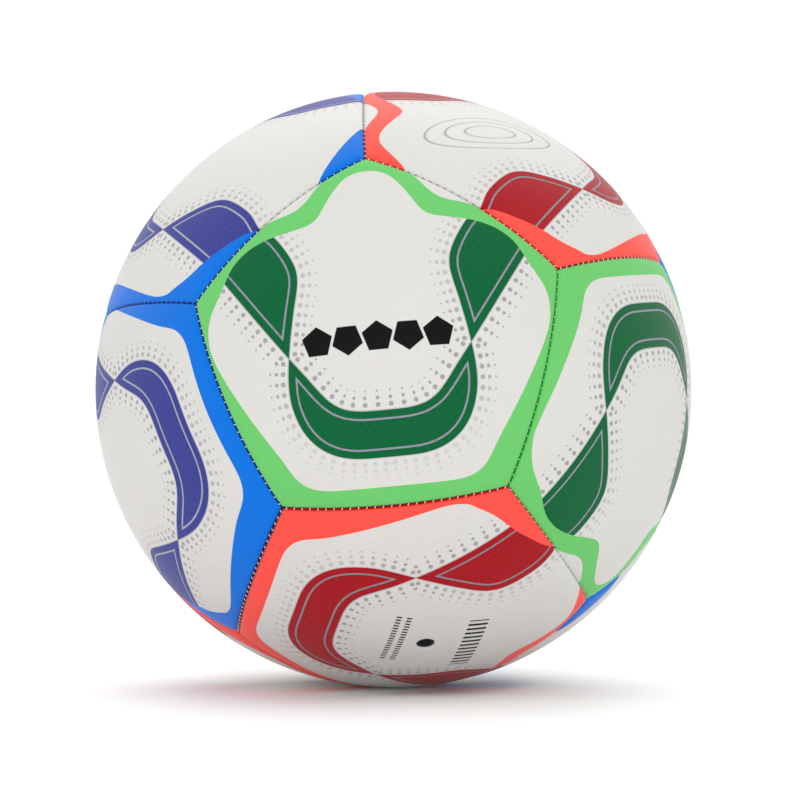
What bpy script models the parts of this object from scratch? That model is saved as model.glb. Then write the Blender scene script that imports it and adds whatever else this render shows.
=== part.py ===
"""Size 5 football: twelve five-sided panels sewn edge to edge over an air bladder.

Units are metres, +Z is up and the origin is the centre of the ball. Every panel is a skin whose edges turn
inwards for sewing, with a foam and cloth backing laid inside it. A thread runs along each seam, between the
turned-in edges of its two panels. The bladder fills the inside, and its valve comes out through the bottom panel.
"""

import math

import bmesh
import bpy
from mathutils import Matrix, Vector

# Driving dimensions, in metres.
BALL_DIAMETER = 0.220
PANEL_THICKNESS = 0.0040
SKIN_THICKNESS = 0.0010
EDGE_ROUND = 0.0015
SEAM_GAP = 0.0010
THREAD_DIAMETER = 0.0005
THREAD_DEPTH = 0.0024
THREAD_END_GAP = 0.0012
BLADDER_WALL = 0.0009
PATCH_DIAMETER = 0.036
PATCH_THICKNESS = 0.0010
VALVE_DIAMETER = 0.0060
VALVE_RECESS = 0.0005
VALVE_LENGTH = 0.0210
VALVE_FLANGE_DIAMETER = 0.026
VALVE_FLANGE_THICKNESS = 0.0014
CORE_DIAMETER = 0.0026
CORE_HEAD_DIAMETER = 0.0044
CORE_HEAD_THICKNESS = 0.0020
CORE_RECESS = 0.0004
NEEDLE_HOLE_DIAMETER = 0.0008
NEEDLE_HOLE_DEPTH = 0.0080
VALVE_OFFSET = 0.0067
CLEARANCE = 0.0003

# How the ball lies, in degrees: where its front panel faces, and how that panel is turned in its own plane.
FRONT_PANEL_AZIMUTH = -2.8
FRONT_PANEL_RISE = 10.5
FRONT_PANEL_ROLL = 5.5
VALVE_BEARING = -35.0

# How finely the curved shapes are faceted.
PANEL_STEPS = 4
EDGE_STEPS = 2
THREAD_STEPS = 6
BLADDER_STEPS = 28
VALVE_STEPS = 20
PATCH_ARC_STEPS = 4
CUTTER_LENGTH = 0.030

# Colours are linear red, green and blue.
SKIN_WHITE = (0.80, 0.78, 0.75)
PRINT_COLOURS = {
    "green": (0.13, 0.62, 0.14),
    "red": (0.88, 0.07, 0.06),
    "blue": (0.010, 0.17, 0.72),
}
BACKING_GREY = (0.55, 0.53, 0.50)
THREAD_BLACK = (0.012, 0.012, 0.014)
BLADDER_BLACK = (0.020, 0.020, 0.022)
VALVE_BLACK = (0.010, 0.010, 0.011)

# The front panel's five neighbours, anticlockwise from its upper right edge, and the panel opposite each.
RING_PANELS = (
    ("upper_right", "back_lower_left", "red"),
    ("upper_left", "back_lower_right", "blue"),
    ("left", "back_right", "blue"),
    ("bottom", "back_top", "red"),
    ("right", "back_left", "green"),
)
POLE_PANELS = ("front", "back", "green")
VALVE_PANEL = "bottom"

BALL_RADIUS = BALL_DIAMETER / 2
PANEL_SPREAD = math.acos(1 / math.sqrt(5))
CORNER_SPREAD = math.atan(3 - math.sqrt(5))
FACET_ANGLE = math.atan(math.tan(CORNER_SPREAD) / PANEL_STEPS)
BACKING_RADIUS = BALL_RADIUS - SKIN_THICKNESS - CLEARANCE
BACKING_INSET = SEAM_GAP / 2 + max(EDGE_ROUND, SKIN_THICKNESS) + CLEARANCE
BACKING_THICKNESS = PANEL_THICKNESS - SKIN_THICKNESS - CLEARANCE
LINING_RADIUS = (BALL_RADIUS - PANEL_THICKNESS) * math.cos(FACET_ANGLE / math.sqrt(3))
BLADDER_RADIUS = LINING_RADIUS - CLEARANCE
BLADDER_INNER_RADIUS = (BLADDER_RADIUS - BLADDER_WALL) * math.cos(math.pi / BLADDER_STEPS)
PATCH_RADIUS = BLADDER_INNER_RADIUS - CLEARANCE
FLANGE_RADIUS = PATCH_RADIUS - PATCH_THICKNESS - CLEARANCE
VALVE_TIP_RADIUS = BALL_RADIUS - VALVE_RECESS
STEM_HOLE_DIAMETER = VALVE_DIAMETER + 2 * CLEARANCE
CORE_BORE_DIAMETER = CORE_DIAMETER + 2 * CLEARANCE


def empty_scene():
    for obj in list(bpy.data.objects):
        bpy.data.objects.remove(obj, do_unlink=True)


def make_collection(name):
    collection = bpy.data.collections.new(name)
    bpy.context.scene.collection.children.link(collection)
    return collection


def make_material(name, colour, roughness):
    material = bpy.data.materials.new(name)
    material.use_nodes = True
    shader = material.node_tree.nodes["Principled BSDF"]
    shader.inputs["Base Color"].default_value = (*colour, 1.0)
    shader.inputs["Roughness"].default_value = roughness
    shader.inputs["Metallic"].default_value = 0.0
    return material


def add_object(name, mesh, collection, *materials):
    obj = bpy.data.objects.new(name, mesh)
    for material in materials:
        mesh.materials.append(material)
    collection.objects.link(obj)
    return obj


def panel_layout():
    """Each panel's name, with the unit vector to its centre and its print colour."""
    tilt = Matrix.Rotation(math.radians(-FRONT_PANEL_RISE), 3, "X")
    roll = Matrix.Rotation(math.radians(-FRONT_PANEL_ROLL), 3, "Y")
    lie = Matrix.Rotation(math.radians(FRONT_PANEL_AZIMUTH), 3, "Z") @ tilt @ roll
    front, back, pole_colour = POLE_PANELS
    centre = lie @ Vector((0, -1, 0))
    layout = {front: (centre, pole_colour), back: (-centre, pole_colour)}
    for place, (name, opposite, colour) in enumerate(RING_PANELS):
        around = math.radians(54 + 72 * place)
        sideways = Vector((math.cos(around), 0, math.sin(around))) * math.sin(PANEL_SPREAD)
        centre = lie @ (sideways - Vector((0, math.cos(PANEL_SPREAD), 0)))
        layout[name] = (centre, colour)
        layout[opposite] = (-centre, colour)
    return layout


def neighbours_of(name, layout):
    """The five panels that this one is sewn to."""
    centre = layout[name][0]
    touching = (other for other in layout if other != name and centre.dot(layout[other][0]) > 0)
    return list(touching)


def walls_of(name, layout):
    """The unit normals of a panel's five seam planes, each pointing into the panel."""
    centre = layout[name][0]
    return [(centre - layout[other][0]).normalized() for other in neighbours_of(name, layout)]


def corners_of(name, layout):
    """Unit vectors to a panel's corners, where three panels meet."""
    centre = layout[name][0]
    around = neighbours_of(name, layout)
    corners = []
    for place, first in enumerate(around):
        for second in around[place + 1 :]:
            if layout[first][0].dot(layout[second][0]) > 0:
                corners.append((centre + layout[first][0] + layout[second][0]).normalized())
    return corners


def foot(walls, inset):
    """The point nearest the ball's centre that lies this far inside every one of the seam planes."""
    total = sum(walls, Vector((0, 0, 0)))
    return total * (inset * len(walls) / total.length_squared)


def slide(point, walls, inset_now, inset, radius):
    """A point on one or two seam planes' offsets, moved to another inset and distance from the centre."""
    base = foot(walls, inset)
    along = point - foot(walls, inset_now)
    return base + along.normalized() * math.sqrt(radius**2 - base.length_squared)


def walls_at(point, walls, inset):
    return [wall for wall in walls if abs(point.dot(wall) - inset) < 1e-6]


def move_rim(verts, walls, inset_now, inset, radius):
    for vert in verts:
        here = walls_at(vert.co, walls, inset_now)
        vert.co = slide(vert.co, here, inset_now, inset, radius)


def pentagon_patch(name, layout, inset, radius):
    """An open five-sided piece of a sphere, with its edges this far from the seam planes."""
    centre = layout[name][0]
    first = corners_of(name, layout)[0]
    upward = (first - centre * first.dot(centre)).normalized()
    frame = Matrix((upward, centre.cross(upward), centre)).transposed().to_4x4()
    frame.translation = centre
    patch = bmesh.new()
    bmesh.ops.create_circle(
        patch, cap_ends=True, cap_tris=True, segments=5, radius=math.tan(CORNER_SPREAD), matrix=frame
    )
    turn_corner_to(patch, first, centre)
    bmesh.ops.subdivide_edges(patch, edges=patch.edges, cuts=PANEL_STEPS - 1, use_grid_fill=True)
    bmesh.ops.triangulate(patch, faces=patch.faces)
    for vert in patch.verts:
        vert.co = vert.co.normalized() * radius
    walls = walls_of(name, layout)
    rim = [vert for vert in patch.verts if vert.is_boundary]
    move_rim(rim, walls, 0, inset, radius)
    face_outwards(patch)
    return patch


def turn_corner_to(patch, corner, centre):
    """Turns a flat pentagon about its centre until one of its corners points at the panel's corner."""
    nearest = max((vert for vert in patch.verts if vert.is_boundary), key=lambda vert: vert.co.dot(corner))
    now = nearest.co - centre * nearest.co.dot(centre)
    wanted = corner - centre * corner.dot(centre)
    turn = now.rotation_difference(wanted).to_matrix()
    bmesh.ops.rotate(patch, cent=(0, 0, 0), matrix=turn, verts=patch.verts)


def face_outwards(patch):
    for face in patch.faces:
        if face.normal.dot(face.calc_center_median()) < 0:
            face.normal_flip()


def extrude_rim(shell, walls, inset_now, inset, radius):
    """Adds a strip round a panel's edge, down to this inset and distance from the centre."""
    rim = [edge for edge in shell.edges if edge.is_boundary]
    added = bmesh.ops.extrude_edge_only(shell, edges=rim)["geom"]
    verts = [part for part in added if isinstance(part, bmesh.types.BMVert)]
    move_rim(verts, walls, inset_now, inset, radius)
    strip = [part for part in added if isinstance(part, bmesh.types.BMFace)]
    for face in strip:
        face.material_index = 1
        face.smooth = True


def make_mesh(name, shape):
    mesh = bpy.data.meshes.new(name)
    shape.normal_update()
    shape.to_mesh(mesh)
    shape.free()
    return mesh


def thicken(obj, thickness):
    solid = obj.modifiers.new("thickness", "SOLIDIFY")
    solid.thickness = thickness
    solid.offset = -1
    solid.use_even_offset = True
    solid.use_quality_normals = True


def make_cover(name, layout, parts, skin, edge_print):
    """A panel's skin: a dome whose edges round over and turn in, ready to be sewn to its neighbours."""
    walls = walls_of(name, layout)
    half_gap = SEAM_GAP / 2
    inset = half_gap + EDGE_ROUND
    shell = pentagon_patch(name, layout, inset, BALL_RADIUS)
    for face in shell.faces:
        face.smooth = True
    for step in range(1, EDGE_STEPS + 1):
        turned = math.radians(90 * step / EDGE_STEPS)
        lower_inset = half_gap + EDGE_ROUND * (1 - math.sin(turned))
        lower_radius = BALL_RADIUS - EDGE_ROUND * (1 - math.cos(turned))
        extrude_rim(shell, walls, inset, lower_inset, lower_radius)
        inset = lower_inset
    extrude_rim(shell, walls, inset, half_gap, BALL_RADIUS - PANEL_THICKNESS)
    bmesh.ops.recalc_face_normals(shell, faces=shell.faces)
    turn_normals_out(shell)
    cover = add_object(f"cover_{name}", make_mesh(f"cover_{name}", shell), parts, skin, edge_print)
    thicken(cover, SKIN_THICKNESS)
    return cover


def turn_normals_out(shell):
    """Flips a whole shell when its dome faces the ball's centre."""
    shell.faces.ensure_lookup_table()
    highest = max(shell.faces, key=lambda face: face.calc_center_median().length)
    if highest.normal.dot(highest.calc_center_median()) < 0:
        bmesh.ops.reverse_faces(shell, faces=shell.faces)


def make_backing(name, layout, parts, material):
    """The foam and cloth layer that fills a skin, level with the skin's turned-in edges."""
    inner_radius = BACKING_RADIUS - BACKING_THICKNESS
    layer = pentagon_patch(name, layout, BACKING_INSET, BACKING_RADIUS)
    outer = list(layer.faces)
    grown = bmesh.ops.extrude_face_region(layer, geom=outer, use_keep_orig=True)["geom"]
    verts = [part for part in grown if isinstance(part, bmesh.types.BMVert)]
    walls = walls_of(name, layout)
    for vert in verts:
        rim = walls_at(vert.co, walls, BACKING_INSET)
        if rim:
            vert.co = slide(vert.co, rim, BACKING_INSET, BACKING_INSET, inner_radius)
        else:
            vert.co = vert.co.normalized() * inner_radius
    bmesh.ops.recalc_face_normals(layer, faces=layer.faces)
    return add_object(f"backing_{name}", make_mesh(f"backing_{name}", layer), parts, material)


def make_threads(layout, parts, material):
    """One thread along each seam, between the turned-in edges of its two panels."""
    names = list(layout)
    for place, first in enumerate(names):
        for second in names[place + 1 :]:
            if layout[first][0].dot(layout[second][0]) > 0:
                make_thread(first, second, layout, parts, material)


def make_thread(first, second, layout, parts, material):
    ends = [corner for corner in corners_of(first, layout) if touches_seam(corner, first, second, layout)]
    radius = BALL_RADIUS - THREAD_DEPTH
    whole = ends[0].angle(ends[1])
    spare = THREAD_END_GAP / radius
    curve = bpy.data.curves.new(f"thread_{first}_{second}", "CURVE")
    curve.dimensions = "3D"
    curve.bevel_depth = THREAD_DIAMETER / 2
    curve.bevel_resolution = 1
    curve.use_fill_caps = True
    spline = curve.splines.new("POLY")
    spline.points.add(THREAD_STEPS)
    for step, point in enumerate(spline.points):
        along = (spare + (whole - 2 * spare) * step / THREAD_STEPS) / whole
        point.co = (*(ends[0].slerp(ends[1], along) * radius), 1)
    add_object(curve.name, curve, parts, material)


def touches_seam(corner, first, second, layout):
    return abs(corner.dot(layout[first][0]) - corner.dot(layout[second][0])) < 1e-6


def turned_shape(name, profile, steps, parts, material, closed=True):
    """A profile of (distance from the valve's axis, distance from the ball's centre), turned round the axis."""
    mesh = bpy.data.meshes.new(name)
    count = len(profile)
    links = [(place, (place + 1) % count) for place in range(count if closed else count - 1)]
    mesh.from_pydata([(across, 0, height) for across, height in profile], links, [])
    obj = add_object(name, mesh, parts, material)
    screw = obj.modifiers.new("turn", "SCREW")
    screw.axis = "Z"
    screw.steps = steps
    screw.render_steps = steps
    screw.use_smooth_shade = False
    screw.use_merge_vertices = True
    screw.merge_threshold = 0.00001
    return obj


def arc(radius, start, end, steps):
    """Profile points on a sphere about the ball's centre, between two angles from the valve's axis."""
    angles = (start + (end - start) * step / steps for step in range(steps + 1))
    return [(radius * math.sin(angle), radius * math.cos(angle)) for angle in angles]


def make_bladder(parts, material):
    """The air bladder: a thin ball with a round hole for the valve's stem."""
    inner = BLADDER_RADIUS - BLADDER_WALL
    hole = STEM_HOLE_DIAMETER / 2
    steps = BLADDER_STEPS // 2
    outside = arc(BLADDER_RADIUS, math.asin(hole / BLADDER_RADIUS), math.pi, steps)
    inside = arc(inner, math.pi, math.asin(hole / inner), steps)
    return turned_shape("bladder", outside + inside, BLADDER_STEPS, parts, material)


def washer_profile(radius, thickness, hole, diameter):
    """A dished ring that follows a sphere of this radius, round a hole on the valve's axis."""
    inner = radius - thickness
    edge = diameter / 2
    top = arc(radius, math.asin(hole / radius), math.asin(edge / radius), PATCH_ARC_STEPS)
    bottom = arc(inner, math.asin(edge / inner), math.asin(hole / inner), PATCH_ARC_STEPS)
    return top + bottom


def make_patch(parts, material):
    profile = washer_profile(PATCH_RADIUS, PATCH_THICKNESS, STEM_HOLE_DIAMETER / 2, PATCH_DIAMETER)
    return turned_shape("valve_patch", profile, VALVE_STEPS, parts, material)


def make_stem(parts, material):
    """The valve's body: a round stem with a flat tip, a bore through it and a flange inside the bladder."""
    stem = VALVE_DIAMETER / 2
    bore = CORE_BORE_DIAMETER / 2
    foot_height = VALVE_TIP_RADIUS - VALVE_LENGTH
    flange = washer_profile(FLANGE_RADIUS, VALVE_FLANGE_THICKNESS, stem, VALVE_FLANGE_DIAMETER)
    profile = [(bore, VALVE_TIP_RADIUS), (stem, VALVE_TIP_RADIUS), *flange, (stem, foot_height), (bore, foot_height)]
    return turned_shape("valve_stem", profile, VALVE_STEPS, parts, material)


def make_core(parts, material):
    """The soft plug in the stem, with the needle's hole in its top and a head that keeps it from blowing out."""
    core = CORE_DIAMETER / 2
    head = CORE_HEAD_DIAMETER / 2
    hole = NEEDLE_HOLE_DIAMETER / 2
    top = VALVE_TIP_RADIUS - CORE_RECESS
    head_top = VALVE_TIP_RADIUS - VALVE_LENGTH - CLEARANCE
    profile = [
        (0, top - NEEDLE_HOLE_DEPTH),
        (hole, top - NEEDLE_HOLE_DEPTH),
        (hole, top),
        (core, top),
        (core, head_top),
        (head, head_top),
        (head, head_top - CORE_HEAD_THICKNESS),
        (0, head_top - CORE_HEAD_THICKNESS),
    ]
    return turned_shape("valve_core", profile, VALVE_STEPS, parts, material, closed=False)


def valve_direction(layout):
    """The valve's axis: near the centre of its panel, offset towards one bearing in the panel's plane."""
    centre = layout[VALVE_PANEL][0]
    upward = (Vector((0, 0, 1)) - centre * centre.z).normalized()
    sideways = upward.cross(centre)
    bearing = math.radians(VALVE_BEARING)
    towards = sideways * math.cos(bearing) + upward * math.sin(bearing)
    spread = VALVE_OFFSET / BALL_RADIUS
    return centre * math.cos(spread) + towards * math.sin(spread)


def make_valve_cutter(cutters, axis):
    """The round hole for the stem, cut through the skin and the backing."""
    bpy.ops.mesh.primitive_cylinder_add(
        vertices=VALVE_STEPS, radius=STEM_HOLE_DIAMETER / 2, depth=CUTTER_LENGTH, location=axis * BALL_RADIUS
    )
    cutter = bpy.context.active_object
    cutter.name = "valve_hole_cutter"
    cutter.rotation_euler = axis.to_track_quat("Z", "Y").to_euler()
    cutter.hide_render = True
    cutter.display_type = "WIRE"
    for collection in list(cutter.users_collection):
        collection.objects.unlink(cutter)
    cutters.objects.link(cutter)
    return cutter


def cut(obj, cutter):
    hole = obj.modifiers.new("valve_hole", "BOOLEAN")
    hole.operation = "DIFFERENCE"
    hole.solver = "EXACT"
    hole.object = cutter


def add_valve_mount(axis, parts):
    """An empty on the valve's axis, to which the turned pieces are parented."""
    mount = bpy.data.objects.new("valve_axis", None)
    mount.rotation_euler = axis.to_track_quat("Z", "Y").to_euler()
    parts.objects.link(mount)
    return mount


def main():
    empty_scene()
    parts = make_collection("football")
    cutters = make_collection("football_cutters")
    layout = panel_layout()
    axis = valve_direction(layout)
    skin = make_material("skin_white", SKIN_WHITE, 0.42)
    prints = {name: make_material(f"print_{name}", colour, 0.38) for name, colour in PRINT_COLOURS.items()}
    backing = make_material("backing_foam", BACKING_GREY, 0.90)
    thread = make_material("thread_black", THREAD_BLACK, 0.60)
    bladder = make_material("bladder_rubber", BLADDER_BLACK, 0.50)
    valve = make_material("valve_rubber", VALVE_BLACK, 0.45)
    cutter = make_valve_cutter(cutters, axis)
    for name, (_, colour) in layout.items():
        cover = make_cover(name, layout, parts, skin, prints[colour])
        layer = make_backing(name, layout, parts, backing)
        if name == VALVE_PANEL:
            cut(cover, cutter)
            cut(layer, cutter)
    make_threads(layout, parts, thread)
    mount = add_valve_mount(axis, parts)
    for piece in (make_bladder(parts, bladder), make_patch(parts, bladder), make_stem(parts, valve)):
        piece.parent = mount
    make_core(parts, valve).parent = mount


main()
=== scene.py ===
"""Soccer ball, size 5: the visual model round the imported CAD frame, with its studio, camera and materials.

Every panel is one closed, sewn-in shell on the sphere. Its artwork is laid out on the panel itself: distances
to a few smooth curves are stored on the mesh, and the material turns them into colours. Places on a panel are
in degrees along the ball from the panel's centre, with x to the right and y towards the corner that its
artwork points at.
"""

import functools
import math

import bpy
import numpy as np
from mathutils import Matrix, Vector


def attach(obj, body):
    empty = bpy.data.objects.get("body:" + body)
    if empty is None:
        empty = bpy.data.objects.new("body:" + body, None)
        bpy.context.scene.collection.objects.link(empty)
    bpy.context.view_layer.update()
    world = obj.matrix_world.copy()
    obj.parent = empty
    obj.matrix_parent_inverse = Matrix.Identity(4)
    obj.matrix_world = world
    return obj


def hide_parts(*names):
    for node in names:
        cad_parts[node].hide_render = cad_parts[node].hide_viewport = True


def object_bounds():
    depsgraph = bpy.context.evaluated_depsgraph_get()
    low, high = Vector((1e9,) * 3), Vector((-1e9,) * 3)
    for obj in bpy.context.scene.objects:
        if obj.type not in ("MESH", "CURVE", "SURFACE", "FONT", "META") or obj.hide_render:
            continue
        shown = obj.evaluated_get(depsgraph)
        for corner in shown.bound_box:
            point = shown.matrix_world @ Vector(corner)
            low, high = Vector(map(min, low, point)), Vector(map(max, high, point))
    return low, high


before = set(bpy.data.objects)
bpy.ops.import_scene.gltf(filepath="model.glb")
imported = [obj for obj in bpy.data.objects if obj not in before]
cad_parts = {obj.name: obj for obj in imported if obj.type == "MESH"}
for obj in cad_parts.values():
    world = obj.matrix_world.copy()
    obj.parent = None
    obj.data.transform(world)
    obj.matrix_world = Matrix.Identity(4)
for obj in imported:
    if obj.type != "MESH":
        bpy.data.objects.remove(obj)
cad_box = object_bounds()

# The twelve panels, three for each of the four corners that the artwork points at.
CORNER_GROUPS = (
    ("front", "upper_right", "upper_left"),
    ("right", "bottom", "back_lower_right"),
    ("back_left", "back_lower_left", "left"),
    ("back", "back_top", "back_right"),
)
OPPOSITE = {
    "front": "back",
    "upper_right": "back_lower_left",
    "upper_left": "back_lower_right",
    "left": "back_right",
    "bottom": "back_top",
    "right": "back_left",
}
OPPOSITE.update({far: near for near, far in list(OPPOSITE.items())})
ART_OF = {name: art for group in CORNER_GROUPS for name, art in zip(group, ("green", "red", "blue"))}
VALVE_PANEL = "bottom"

# Sizes, in metres.
MM = 0.001
RADIUS = 0.110
DEGREE = RADIUS * math.radians(1.0)  # one degree along the ball
SKIN = 0.0010
SEAM_HALF_GAP = 0.00005
LIP_WIDTH = 0.0011
RIM_START = 0.0060  # the rounded edge of a panel starts this far from the seam
UNDERSIDE_INSET = 0.0080  # and its flat underside starts this far from it
PUCKER, PUCKER_REACH = 0.00030, 0.0009  # how far a stitch pulls the edge in, and how far in from the seam
CORNER_DIP, CORNER_LENGTH, CORNER_REACH = 0.00028, 0.0020, 0.0016  # the corners sit lower, in the same way
VALVE_HOLE_RADIUS = 0.00325

# One of twelve equal panels, in degrees.
SIDE_ANGLE = math.degrees(math.atan(2)) / 2  # from its centre to the middle of a side
HALF_SIDE = math.degrees(math.asin(2 / 3)) / 2  # from the middle of a side to its end

# How finely the panels are meshed.
STITCHES = 28  # for each seam
POINTS_PER_STITCH = 4
GRID, GRID_INSIDE = 35, 12
HOLE_POINTS = 48
HOLE_MARGIN = 0.6  # degrees of the grid cleared round a hole

# The edge of a panel, as distance from the seam and drop below the ball's surface, in metres: the rounded
# outside, the lip turned in for sewing, and the underside.
RIM_OUTSIDE = (
    (0.0050, 0.00002),
    (0.0038, 0.00006),
    (0.0028, 0.00012),
    (0.0021, 0.00019),
    (0.0016, 0.00027),
    (0.00125, 0.00036),
    (0.00095, 0.00047),
    (0.00070, 0.00060),
    (0.00050, 0.00075),
    (0.00033, 0.00093),
    (0.00018, 0.00113),
    (SEAM_HALF_GAP, 0.00140),
    (SEAM_HALF_GAP, 0.0023),
    (SEAM_HALF_GAP, 0.0032),
)
RIM_LIP = (
    (SEAM_HALF_GAP + 0.3 * LIP_WIDTH, 0.0034),
    (SEAM_HALF_GAP + 0.7 * LIP_WIDTH, 0.0034),
    (SEAM_HALF_GAP + LIP_WIDTH, 0.0032),
)
RIM_UNDERSIDE = (
    (SEAM_HALF_GAP + LIP_WIDTH, 0.0018),
    (SEAM_HALF_GAP + 1.4 * LIP_WIDTH, 0.00125),
    (0.0030, SKIN),
    (RIM_START, SKIN),
)

# The valve's hole in a panel, as distance from its middle and drop, from outside in.
HOLE_OUTSIDE = ((0.0044, 0.0), (0.0039, 0.00002), (0.0036, 0.00008), (0.0034, 0.00020), (0.00329, 0.00036),
                (VALVE_HOLE_RADIUS, 0.00060))
HOLE_INSIDE = ((VALVE_HOLE_RADIUS, SKIN), (0.0044, SKIN))

# The artwork's curves on the right half of a panel, in degrees. The left half mirrors them.
WAVE_TOP = ((-3, 33.2), (0, 33.2), (2, 33), (4, 32), (5.5, 30.3), (7, 28), (8.5, 25.2), (9.5, 23.3), (11, 22),
            (13.5, 21.5), (18.5, 20.9), (21, 20.2), (23.5, 19.2), (26, 17.3), (27.5, 15.3), (28.3, 13.5),
            (30, 10.5), (31.5, 8), (32.2, 6), (32.5, 3.8))
PLAIN_TOP = ((-3, 33.2), (0, 33.2), (4, 33.1), (8, 32.8), (9.5, 34.5), (13, 35), (19, 31), (22, 26.5),
             (21.3, 24), (22.5, 21), (24.8, 17.5), (26.6, 14.5), (28, 12.5), (30.5, 9), (32, 5), (32.5, 3.8))
WINDOW_FOOT = ((32.3, 1), (31.4, -1.5), (30, -4.5), (27.8, -8.5), (25.5, -12.5), (22.7, -17), (20, -21.2),
               (18.9, -23.3), (17.6, -25.4), (15.5, -27), (12.5, -27.8), (6, -27.9), (0, -27.9), (-3, -27.9))
LENS = ((5.5, 36.5), (8.5, 32.3), (10, 30), (11.5, 27.7), (13, 26.2), (15, 25.3), (18, 24.8), (20.5, 24.2),
        (25, 23))
TRACK_ONE = ((29, 31), (24, 26.2), (21.5, 24), (18.2, 21.2), (16.4, 18.5), (15, 16), (14, 13.6), (13.7, 11.2),
             (14.1, 8.5), (14.7, 6), (15.3, 3), (15.9, 0), (16.4, -3.2), (16.8, -6), (17, -9), (16.8, -12),
             (15.6, -16), (13.4, -19.2), (10.2, -21.4), (6.5, -22.4), (3, -22.5), (0, -22.5), (-3, -22.5))
TRACK_TWO = ((34, 21.3), (28.3, 13.4), (22.4, 5.1), (16.4, -3.2), (13.6, -6.8), (11.4, -9.9), (9.6, -12),
             (7.4, -13.4), (4.8, -14), (2, -14.1), (0, -14.1), (-3, -14.1))
PINCH = (16.4, -3.2)  # where the two tracks cross
BLUE_TOP = 31.9  # the blue panels' window stops here, a little lower than the others'
NO_LENS = -9.0  # stored as the distance to the lens where there is none
PRINT_SHIFT = {"left": (1.0, 0.3)}  # the left panel's print sits a little off its middle

# The print along the tracks, in degrees.
PITCH_ONE, PITCH_TWO = 1.8, 2.3  # from dot to dot along each track
DOT_ROWS = ((1.05, 0.45), (2.3, 0.33), (3.5, 0.19))  # distance from the track, and dot radius
DOT_EDGE = 0.12
INLINE_INSET, INLINE_HALF_WIDTH = 1.5, 0.17
STROKE_HALF_WIDTH, STROKE_STRENGTH = 0.2, 0.75
SOFT_EDGE, PICK_EDGE, FADE_EDGE = 0.09, 0.001, 0.01  # how far a print's edge, or a change of side, is spread
FADE_START, FADE_RUN = 2.0, 9.0  # in dots from where the tracks cross
UPPER_FADE = 0.42  # how faint the dots between the upper ends get
# The fades outside the lower bend are partly the print's own fade and partly painted glare. They are deeper
# on the front and bottom panels, standing in for a reflection that washes the dots out.
LOWER_FADES_AND_GLARE = {"row": 0.7, "bars": 0.5}  # and those outside the lower bend, on two of the marked panels
PLAIN_LOWER_FADE_AND_GLARE = 0.3

# Colours as red, green and blue from 0 to 255.
WHITE = (198, 196, 192)
# Each print's last colour is painted shade along its seams, darker than its band.
PRINTS = {
    "green": {"band": (98, 182, 98), "track": (2, 88, 48), "line": (136, 132, 149), "groove_shade": (18, 150, 44)},
    "red": {"band": (232, 75, 65), "track": (152, 15, 26), "line": (112, 129, 135), "groove_shade": (214, 12, 12)},
    "blue": {"band": (0, 103, 201), "track": (52, 57, 131), "line": (150, 153, 157), "groove_shade": (2, 40, 138)},
}
# Painted shade along seams on white, shown only between the stitches.
WHITE_GROOVE_SHADE = (102, 94, 82)
THREAD_COLOURS = {
    "mixed": (230, 227, 222),
    "green": (150, 216, 150),
    "red": (244, 140, 130),
    "blue": (60, 128, 224),
}
STROKE_GREY = (156, 155, 160)
DOT_GREY = (146, 145, 149)
DRAWING_GREY = (152, 153, 158)
MARK_BLACK = (9, 9, 9)
CLOTH_WARP, CLOTH_WEFT = (214, 208, 194), (196, 190, 178)
VALVE_BLACK = (7, 7, 7)
BUTYL_BLACK = (54, 52, 52)


def linear(colour):
    """An 0 to 255 screen colour as the linear colour Blender's nodes use."""
    share = [c / 255 for c in colour]
    return tuple(c / 12.92 if c <= 0.04045 else ((c + 0.055) / 1.055) ** 2.4 for c in share) + (1.0,)


def unit(vector):
    return vector / np.linalg.norm(vector)


def points_of(node):
    """A CAD node's points, each place once."""
    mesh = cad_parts[node].data
    flat = np.empty(len(mesh.vertices) * 3)
    mesh.vertices.foreach_get("co", flat)
    return np.unique(flat.reshape(-1, 3).round(6), axis=0)


# Where each panel is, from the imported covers.
middles = {name: points_of("cover_" + name).mean(0) for name in ART_OF}
CENTRE = np.mean([middles[name] for name in ART_OF], axis=0)
facing = {name: unit(middles[name] - middles[OPPOSITE[name]]) for name in ART_OF}
bases = {}
for group in CORNER_GROUPS:
    corner = unit(sum(facing[name] for name in group))
    for name in group:
        out = facing[name]
        up = unit(corner - out * (corner @ out))
        bases[name] = np.array([np.cross(up, out), up, out])
valve_axis = unit(points_of("valve_stem").mean(0) - CENTRE)


# ------------------------------------------------------------------------------------------------------
# Places on a panel


def direction(places):
    """Unit vectors in a panel's own axes for places given in degrees from its centre."""
    turn = np.radians(places)
    angle = np.hypot(turn[:, 0], turn[:, 1])
    scale = np.sinc(angle / np.pi)
    return np.column_stack([turn[:, 0] * scale, turn[:, 1] * scale, np.cos(angle)])


def place_of(vectors):
    """The places, in degrees from a panel's centre, of unit vectors in that panel's own axes."""
    across = np.hypot(vectors[:, 0], vectors[:, 1])
    angle = np.degrees(np.arctan2(across, vectors[:, 2]))
    return vectors[:, :2] / np.maximum(across, 1e-9)[:, None] * angle[:, None]


def side_turn(side):
    """The turn, in radians from a panel's x axis, to the middle of one of its five sides."""
    return np.radians(90 + 36 + 72 * side)


def stitch_nearness(share):
    """0 to 1 for how near a share of the way along a seam is to a stitch."""
    return 0.5 - 0.5 * np.cos(2 * np.pi * STITCHES * share)


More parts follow.
